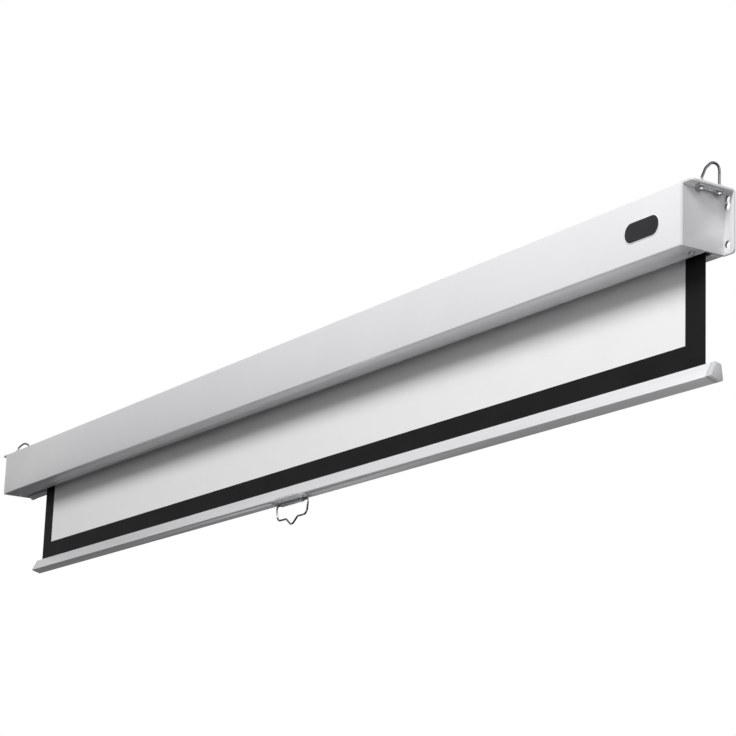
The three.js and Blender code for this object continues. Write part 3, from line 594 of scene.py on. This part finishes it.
def foldHem():
    look = hemLook
    low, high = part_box("hem_sleeve")
    rodLow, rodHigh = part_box("hem_rod")
    middle = (rodLow + rodHigh) / 2
    radius = (rodHigh.z - rodLow.z) / 2 + look["gap"] + look["thickness"] / 2
    half = look["thickness"] / 2
    top = high.z
    neck = (top + middle.z + radius) / 2
    opening = math.asin(half / radius)
    line = [(middle.y + half, top), (middle.y + half, neck)]
    for i in range(look["steps"] + 1):
        angle = opening + (2 * math.pi - 2 * opening) * i / look["steps"]
        line.append((middle.y + radius * math.sin(angle), middle.z + radius * math.cos(angle)))
    line += [(middle.y - half, neck), (middle.y - half, top)]
    piece = clothGrid("hemLoop", [low.x, *evenly(low.x, high.x, look["columns"])], line)
    piece.data.materials.append(finishes["black_sheet"])
    flatMap(piece, lambda point: point.z)
    thicken(piece, look["thickness"] * look["pressed"])
    smooth(piece, 40)
    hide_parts("hem_sleeve")
    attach(piece, "bottom_bar")
    return piece


windSheet()
foldHem()
hangSheet()
print("sheet wound, hemmed and hung")


# Bent wire: a round section drawn along straight runs and bends in one plane

shortestRun = 0.00001


def bendWire(name, thickness, corners, radii, normal, segments, bendFaces):
    normal = Vector(normal)
    corners = [Vector(corner) for corner in corners]
    heading = (corners[1] - corners[0]).normalized()
    deselectAll()
    bpy.ops.mesh.primitive_circle_add(vertices=segments, radius=thickness / 2, fill_type="NGON")
    piece = bpy.context.object
    piece.name = name
    turned = heading.to_track_quat("Z", "Y").to_matrix().to_4x4()
    piece.matrix_world = Matrix.Translation(corners[0]) @ turned
    settle(piece)
    bpy.ops.object.mode_set(mode="EDIT")
    bpy.ops.mesh.select_all(action="SELECT")
    used = 0.0
    for i in range(1, len(corners)):
        step = corners[i] - corners[i - 1]
        heading = step.normalized()
        last = i == len(corners) - 1
        turn = 0.0
        if not last:
            onward = (corners[i + 1] - corners[i]).normalized()
            turn = math.atan2(normal.dot(heading.cross(onward)), heading.dot(onward))
        cut = 0.0 if last else radii[i] * math.tan(abs(turn) / 2)
        run = step.length - used - cut
        if run > shortestRun:
            bpy.ops.mesh.extrude_region_move(TRANSFORM_OT_translate={"value": heading * run})
        used = cut
        if not last and abs(turn) > 0.001:
            start = corners[i] - heading * cut
            side = normal.cross(heading) * (1 if turn > 0 else -1)
            bpy.ops.mesh.spin(
                steps=max(4, round(bendFaces * abs(turn) / math.pi)), angle=-turn,
                center=start + side * radii[i], axis=normal,
            )
    bpy.ops.object.mode_set(mode="OBJECT")
    outward(piece)
    roundEdges(piece, thickness * 0.12, 60)
    applyAll(piece)
    smooth(piece, 50)
    return piece


# Hangers: a threaded wire loop with four nuts on each top flange

hangerLook = {"segments": 24, "bendFaces": 28}
nutShape = {
    "edge": 0.00025, "bore": 0.00195, "boreFaces": 32,
    "blankFaces": 48, "blankOver": 0.0003, "blankUnder": 0.0001, "overrun": 0.00001,
}
hangerShape = {
    "kneeRise": 0.0046, "shoulderIn": 0.007, "shoulderRise": 0.020, "crownIn": 0.0167,
    "knee": 0.004, "shoulder": 0.014, "crown": 0.010, "rear": 0.008,
}


def hangerLoop(side):
    # The front leg leans in over its nut, to a crown near the rear leg
    look, shape = hangerLook, hangerShape
    low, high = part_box("hanger_loop_" + side)
    wire = high.x - low.x
    x = (low.x + high.x) / 2
    front, rear = low.y + wire / 2, high.y - wire / 2
    top = high.z - wire / 2
    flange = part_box("end_bracket_" + side)[1].z
    corners = [
        (x, front, low.z),
        (x, front, flange + shape["kneeRise"]),
        (x, front + shape["shoulderIn"], flange + shape["shoulderRise"]),
        (x, front + shape["crownIn"], top),
        (x, rear, top),
        (x, rear, low.z),
    ]
    radii = [0, shape["knee"], shape["shoulder"], shape["crown"], shape["rear"], 0]
    piece = bendWire(
        "hangerLoop_" + side, wire, corners, radii, (-1, 0, 0), look["segments"], look["bendFaces"],
    )
    piece.data.materials.append(shadedWirePlate)
    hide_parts("hanger_loop_" + side)
    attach(piece, "housing")
    return piece


def hexNut():
    shape = nutShape
    low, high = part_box("hanger_nut_right_front_upper")
    tall = high.z - low.z
    corner = (high.x - low.x) / 2
    flat = corner * math.cos(math.pi / 6)
    nut = addCylinder(corner, tall, tall / 2, 6, math.pi / 2)
    # Turned blank that rounds the corners off, then the bore
    widest = corner + shape["blankOver"]
    blank = addCylinder(widest, tall - 2 * (corner - flat), tall / 2, shape["blankFaces"])
    bpy.ops.object.mode_set(mode="EDIT")
    rise = corner - flat + shape["overrun"]
    narrowed = (flat - shape["blankUnder"]) / widest
    for sign in (-1, 1):
        selectFaces(lambda middle, normal: normal.z * sign > 0.5)
        bpy.ops.mesh.extrude_region_move(TRANSFORM_OT_translate={"value": (0, 0, sign * rise)})
        bpy.ops.transform.resize(value=(narrowed, narrowed, 1), center_override=(0, 0, 0))
    bpy.ops.object.mode_set(mode="OBJECT")
    bore = addCylinder(shape["bore"], tall * 3, tall / 2, shape["boreFaces"])
    modifier(nut, "blank", "BOOLEAN", operation="INTERSECT", object=blank, solver="EXACT")
    modifier(nut, "bore", "BOOLEAN", operation="DIFFERENCE", object=bore, solver="EXACT")
    roundEdges(nut, shape["edge"], 35)
    applyAll(nut)
    for tool in (blank, bore):
        bpy.data.objects.remove(tool)
    smooth(nut, 35)
    nut.data.materials.append(finishes["chrome"])
    return nut


nutPattern = hexNut()
for side in ("right", "left"):
    hangerLoop(side)
    for end in ("front", "rear"):
        for level in ("upper", "lower"):
            node = "_".join(("hanger_nut", side, end, level))
            low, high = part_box(node)
            middle = (low + high) / 2
            place = Matrix.Translation((middle.x, middle.y, low.z))
            nut = copyOf(nutPattern, "_".join(("hangerNut", side, end, level)), place)
            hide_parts(node)
            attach(nut, "housing")
bpy.data.objects.remove(nutPattern)
print("hangers made")


# Pull handle: bent wire in a rolled barrel under the bar

handleLook = {"segments": 24, "bendFaces": 26}
handleShape = {
    "wire": 0.003, "pin": 0.020, "half": 0.0475, "footHalf": 0.0435, "drop": 0.0235,
    "dipHalf": 0.017, "dip": 0.0125, "shoulder": 0.005, "foot": 0.010, "finger": 0.005, "tip": 0.010,
}


def pullHandle():
    shape = handleShape
    low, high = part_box("handle")
    middle = Vector(((low.x + high.x) / 2, (low.y + high.y) / 2, high.z - shape["wire"] / 2))
    half = [
        (shape["pin"], 0), (shape["half"], 0),
        (shape["footHalf"], -shape["drop"]), (shape["dipHalf"], -shape["drop"]),
    ]
    tip = (0, -shape["drop"] - shape["dip"])
    outline = [(-x, z) for x, z in half] + [tip] + half[::-1]
    radii = [0, shape["shoulder"], shape["foot"], shape["finger"]]
    radii = radii + [shape["tip"]] + radii[::-1]
    corners = [middle + Vector((x, 0, z)) for x, z in outline]
    look = handleLook
    piece = bendWire(
        "pullHandle", shape["wire"], corners, radii, (0, -1, 0), look["segments"], look["bendFaces"],
    )
    piece.data.materials.append(shadedHandleWirePlate)
    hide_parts("handle")
    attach(piece, "handle")
    return piece


handlePlateShape = {
    "slope": -16.731, "nose": (0.03675, -0.0333, -0.1952993), "half": 0.051, "start": 0.0008,
    "gap": 0.0003, "sheet": 0.0012, "edge": 0.00025,
    "barrelBack": 0.0133, "bore": 0.0018, "barrelHalf": 0.032, "turn": 290, "barrelSteps": 40,
    "ribs": 9, "ribPitch": 0.0075, "ribWidth": 0.0034, "ribCrest": 0.0014, "ribTaper": 0.8,
    "ribHeight": 0.0009, "ribSink": 0.00015, "ribMargin": 0.001, "ribEdge": 0.0004,
    "clawRise": 0.0036, "clawCrest": 0.0026, "clawThickness": 0.0008, "clawLean": -8.2,
    "clawGap": 0.00035, "clawOverlap": 0.001, "clawEdge": 0.0002,
}


def ribClaw(shape, ribStart, face):
    thick, rise = shape["clawThickness"], shape["clawRise"]
    middle = (0, -shape["clawGap"] - thick / 2, rise / 2)
    claw = addBox((shape["ribWidth"], thick, rise), middle)
    claw.rotation_euler = (math.radians(shape["clawLean"]), 0, 0)
    settle(claw)
    bpy.ops.object.mode_set(mode="EDIT")
    selectFaces(lambda middle, normal: normal.z > 0.9)
    bpy.ops.transform.resize(value=(shape["clawCrest"] / shape["ribWidth"], 1, 1))
    # The foot runs down and back to the rib under the nose
    selectFaces(lambda middle, normal: normal.z < -0.9)
    bpy.ops.mesh.extrude_region_move(TRANSFORM_OT_translate={"value": (0, 0, face - thick / 2)})
    selectFaces(lambda middle, normal: normal.y > 0.9 and middle.z < 0)
    reach = ribStart + shape["clawGap"] + shape["clawOverlap"]
    bpy.ops.mesh.extrude_region_move(TRANSFORM_OT_translate={"value": (0, reach, 0)})
    bpy.ops.object.mode_set(mode="OBJECT")
    roundEdges(claw, shape["clawEdge"], 25)
    applyAll(claw)
    return claw


def handlePlate():
    # Made flat: Y runs back along the bar's sloping underside and Z into the bar
    shape = handlePlateShape
    mid = -(shape["gap"] + shape["sheet"] / 2)
    face = -(shape["gap"] + shape["sheet"])
    axis = Vector((0, shape["barrelBack"], face - shape["bore"]))
    deselectAll()
    middle = (shape["start"] + shape["barrelBack"]) / 2
    bpy.ops.mesh.primitive_plane_add(size=1, location=(0, middle, mid))
    piece = bpy.context.object
    piece.name = "handlePlate"
    piece.scale = (2 * shape["half"], shape["barrelBack"] - shape["start"], 1)
    settle(piece)
    bpy.ops.object.mode_set(mode="EDIT")
    for x in (-shape["barrelHalf"], shape["barrelHalf"]):
        bpy.ops.mesh.select_all(action="SELECT")
        bpy.ops.mesh.bisect(plane_co=(x, 0, 0), plane_no=(1, 0, 0))
    bpy.ops.mesh.select_mode(type="VERT")
    selectPoints(
        lambda point: point.y > shape["barrelBack"] - nearby
        and abs(point.x) < shape["barrelHalf"] + nearby
    )
    bpy.ops.mesh.spin(
        steps=shape["barrelSteps"], angle=math.radians(shape["turn"]), center=axis, axis=(1, 0, 0),
    )
    bpy.ops.object.mode_set(mode="OBJECT")
    modifier(
        piece, "sheet", "SOLIDIFY", thickness=shape["sheet"], offset=0.0, use_even_offset=True,
    )
    applyAll(piece)
    outward(piece)
    roundEdges(piece, shape["edge"], 50)
    applyAll(piece)
    ribEnd = shape["barrelBack"] - shape["bore"] - shape["sheet"] - shape["ribMargin"]
    ribStart = shape["start"] + shape["ribMargin"]
    high, sink = shape["ribHeight"], shape["ribSink"]
    rib = addBox(
        (shape["ribWidth"], ribEnd - ribStart, high + 2 * sink),
        (0, (ribStart + ribEnd) / 2, face - high / 2 + sink),
    )
    bpy.ops.object.mode_set(mode="EDIT")
    selectFaces(lambda middle, normal: normal.z < -0.5)
    bpy.ops.transform.resize(value=(shape["ribCrest"] / shape["ribWidth"], shape["ribTaper"], 1))
    bpy.ops.object.mode_set(mode="OBJECT")
    roundEdges(rib, shape["ribEdge"], 25, segments=3)
    applyAll(rib)
    # Each rib ends in a claw, pressed up over the bar's nose
    claw = ribClaw(shape, ribStart, face)
    activate(rib)
    claw.select_set(True)
    bpy.ops.object.join()
    ribs = []
    for i in range(shape["ribs"]):
        x = (i - (shape["ribs"] - 1) / 2) * shape["ribPitch"]
        ribs.append(copyOf(rib, "rib", Matrix.Translation((x, 0, 0))))
    bpy.data.objects.remove(rib)
    activate(piece)
    for one in ribs:
        one.select_set(True)
    bpy.ops.object.join()
    slope = Matrix.Rotation(math.radians(shape["slope"]), 4, "X")
    piece.matrix_world = Matrix.Translation(shape["nose"]) @ slope
    settle(piece)
    smooth(piece, 35)
    piece.data.materials.append(finishes["zinc"])
    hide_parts("handle_bracket")
    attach(piece, "bottom_bar")
    return piece


pullHandle()
handlePlate()
print("handle made")


# Badge plate on the housing's front: left bare

badgeShape = {
    "middle": (0.9170, -0.00135), "size": (0.0648, 0.0271), "corner": 0.0134,
    "rim": 0.0007, "thickness": 0.0006, "dish": 0.0002, "edge": 0.0002, "cornerSteps": 14,
    "sink": 0.00002,
}


def badge():
    shape = badgeShape
    low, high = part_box("housing_shell")
    deselectAll()
    bpy.ops.mesh.primitive_plane_add(size=1, location=(0, 0, 0))
    piece = bpy.context.object
    piece.name = "badge"
    piece.scale = (*shape["size"], 1)
    settle(piece)
    bpy.ops.object.mode_set(mode="EDIT")
    bpy.ops.mesh.select_all(action="SELECT")
    bpy.ops.mesh.bevel(offset=shape["corner"], segments=shape["cornerSteps"], affect="VERTICES")
    bpy.ops.mesh.select_all(action="SELECT")
    bpy.ops.mesh.extrude_region_move(TRANSFORM_OT_translate={"value": (0, 0, shape["thickness"])})
    bpy.ops.mesh.inset(thickness=shape["rim"])
    bpy.ops.mesh.inset(thickness=shape["edge"], depth=-shape["dish"])
    bpy.ops.object.mode_set(mode="OBJECT")
    outward(piece)
    piece.data.materials.append(plastic["badgeRim"])
    piece.data.materials.append(plastic["badgePlate"])
    for face in piece.data.polygons:
        dished = nearby < face.center.z < shape["thickness"] - nearby
        face.material_index = int(face.normal.z > 0.9 and dished)
    roundEdges(piece, shape["edge"], 60)
    applyAll(piece)
    turn = Matrix.Rotation(math.radians(90), 4, "X")
    x, z = shape["middle"]
    piece.matrix_world = Matrix.Translation((x, low.y + shape["sink"], z)) @ turn
    settle(piece)
    smooth(piece, 35)
    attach(piece, "housing")
    return piece


badge()
print("badge made")


# Studio: pale floor, soft key from the right, and the camera at the photograph's angle

cameraView = {
    "place": (2.78680, -1.65147, -0.83766), "yaw": 57.2846, "pitch": 12.2625, "roll": 2.0748,
    "lens": 102.824, "sensor": 36, "shiftY": 100 / 736, "clip": (0.05, 60),
}


def placeCamera():
    view = cameraView
    yaw, pitch, roll = (math.radians(view[name]) for name in ("yaw", "pitch", "roll"))
    ahead = Vector((-math.sin(yaw) * math.cos(pitch), math.cos(yaw) * math.cos(pitch), math.sin(pitch)))
    right = Vector((math.cos(yaw), math.sin(yaw), 0))
    up = right.cross(ahead)
    cos, sin = math.cos(roll), math.sin(roll)
    right, up = right * cos + up * sin, up * cos - right * sin
    deselectAll()
    bpy.ops.object.camera_add()
    camera = bpy.context.object
    turned = Matrix((right, up, -ahead)).transposed().to_4x4()
    camera.matrix_world = Matrix.Translation(view["place"]) @ turned
    camera.data.lens = view["lens"]
    camera.data.sensor_width = view["sensor"]
    camera.data.shift_y = view["shiftY"]
    camera.data.clip_start, camera.data.clip_end = view["clip"]
    bpy.context.scene.camera = camera


studio = {
    "floorHeight": -1.75, "floorSize": 30, "floorGlow": 0.5,
    "floorColour": (0.70, 0.70, 0.71), "floorShade": (0.6895, 0.6895, 0.69935),
    "skyBehind": 1.0, "skyFront": 0.50, "skyBelow": 0.02, "skyOver": 0.4,
    # Between these parts of a unit direction the sky goes from one strength to the next
    "frontToBehind": (-0.45, 0.3), "belowToUp": (-0.02, 0.16), "upToOver": (0.3, 0.95),
}
# Each lamp's place, the point it faces, its two sizes in metres and its power in watts
lamps = {
    "keyLight": ((2.2, -3.7, 3.0), (0.2, 0, 0), (1.9, 1.9), 245),
    "underLight": ((1.08, -0.05, -1.6), (1.05, -0.045, 0), (1.8, 0.2), 8.2),
    "underLightLeft": ((-1.4, -0.05, -1.6), (-1.2, -0.045, 0), (1.0, 0.2), 5.2),
    "sideLight": ((3.4, -0.9, 0.05), (1.0, -0.03, 0), (1.0, 1.0), 14),
}


def softLight(name, place, aim, size, power):
    deselectAll()
    bpy.ops.object.light_add(type="AREA", location=place)
    lamp = bpy.context.object
    lamp.name = name
    lamp.data.shape = "RECTANGLE"
    lamp.data.size, lamp.data.size_y = size
    lamp.data.energy = power
    lamp.rotation_euler = (Vector(aim) - Vector(place)).to_track_quat("-Z", "Y").to_euler()
    lamp.visible_camera = False
    return lamp


def skyRamp(tree, value, span, strengths):
    ramp = tree.nodes.new("ShaderNodeMapRange")
    ramp.interpolation_type = "SMOOTHSTEP"
    ramp.inputs["From Min"].default_value, ramp.inputs["From Max"].default_value = span
    ramp.inputs["To Min"].default_value, ramp.inputs["To Max"].default_value = strengths
    tree.links.new(value, ramp.inputs["Value"])
    return ramp


def layFloor():
    deselectAll()
    bpy.ops.mesh.primitive_plane_add(size=studio["floorSize"], location=(0, 0, 0))
    floor = bpy.context.object
    floor.name = "floor"
    floor.location.z = studio["floorHeight"]
    settle(floor)
    finish, shader = newFinish("paleFloor", studio["floorColour"], 0.9)
    cloud = noise(finish, patternPlace(finish), 1.5, 2)
    tint(finish, shader, cloud, studio["floorShade"], studio["floorColour"])
    floor.data.materials.append(finish)
    # A pale floor that is clear from below, so the underside can be looked at too
    shader.inputs["Emission Color"].default_value = (1, 1, 1, 1)
    shader.inputs["Emission Strength"].default_value = studio["floorGlow"]
    below = finish.node_tree.nodes.new("ShaderNodeNewGeometry")
    solid = finish.node_tree.nodes.new("ShaderNodeMath")
    solid.operation = "SUBTRACT"
    solid.inputs[0].default_value = 1
    link(finish, below.outputs["Backfacing"], solid.inputs[1])
    link(finish, solid.outputs["Value"], shader.inputs["Alpha"])
    # It is there to be seen; light from below is set by the sky and the low lamps
    floor.visible_diffuse = floor.visible_glossy = False


def makeSky():
    world = bpy.data.worlds.new("studioSky")
    bpy.context.scene.world = world
    world.use_nodes = True
    tree = world.node_tree
    sky = tree.nodes["Background"]
    direction = tree.nodes.new("ShaderNodeTexCoord")
    parts = tree.nodes.new("ShaderNodeSeparateXYZ")
    tree.links.new(direction.outputs["Generated"], parts.inputs["Vector"])
    level = skyRamp(
        tree, parts.outputs["Y"], studio["frontToBehind"], (studio["skyFront"], studio["skyBehind"]),
    )
    low = skyRamp(
        tree, parts.outputs["Z"], studio["belowToUp"], (studio["skyBelow"], studio["skyBehind"]),
    )
    tree.links.new(level.outputs["Result"], low.inputs["To Max"])
    high = skyRamp(tree, parts.outputs["Z"], studio["upToOver"], (1, studio["skyOver"]))
    lit = tree.nodes.new("ShaderNodeMath")
    lit.operation = "MULTIPLY"
    tree.links.new(low.outputs["Result"], lit.inputs[0])
    tree.links.new(high.outputs["Result"], lit.inputs[1])
    # What the camera sees behind the floor is plain and pale
    seen = tree.nodes.new("ShaderNodeLightPath")
    pale = tree.nodes.new("ShaderNodeMix")
    pale.inputs["B"].default_value = studio["skyBehind"]
    tree.links.new(seen.outputs["Is Camera Ray"], pale.inputs["Factor"])
    tree.links.new(lit.outputs["Value"], pale.inputs["A"])
    tree.links.new(pale.outputs["Result"], sky.inputs["Strength"])
    sky.inputs["Color"].default_value = (1, 1, 1, 1)


placeCamera()
layFloor()
makeSky()
for name, (place, aim, size, power) in lamps.items():
    softLight(name, place, aim, size, power)
bpy.context.scene.view_settings.view_transform = "Standard"
print("studio ready")
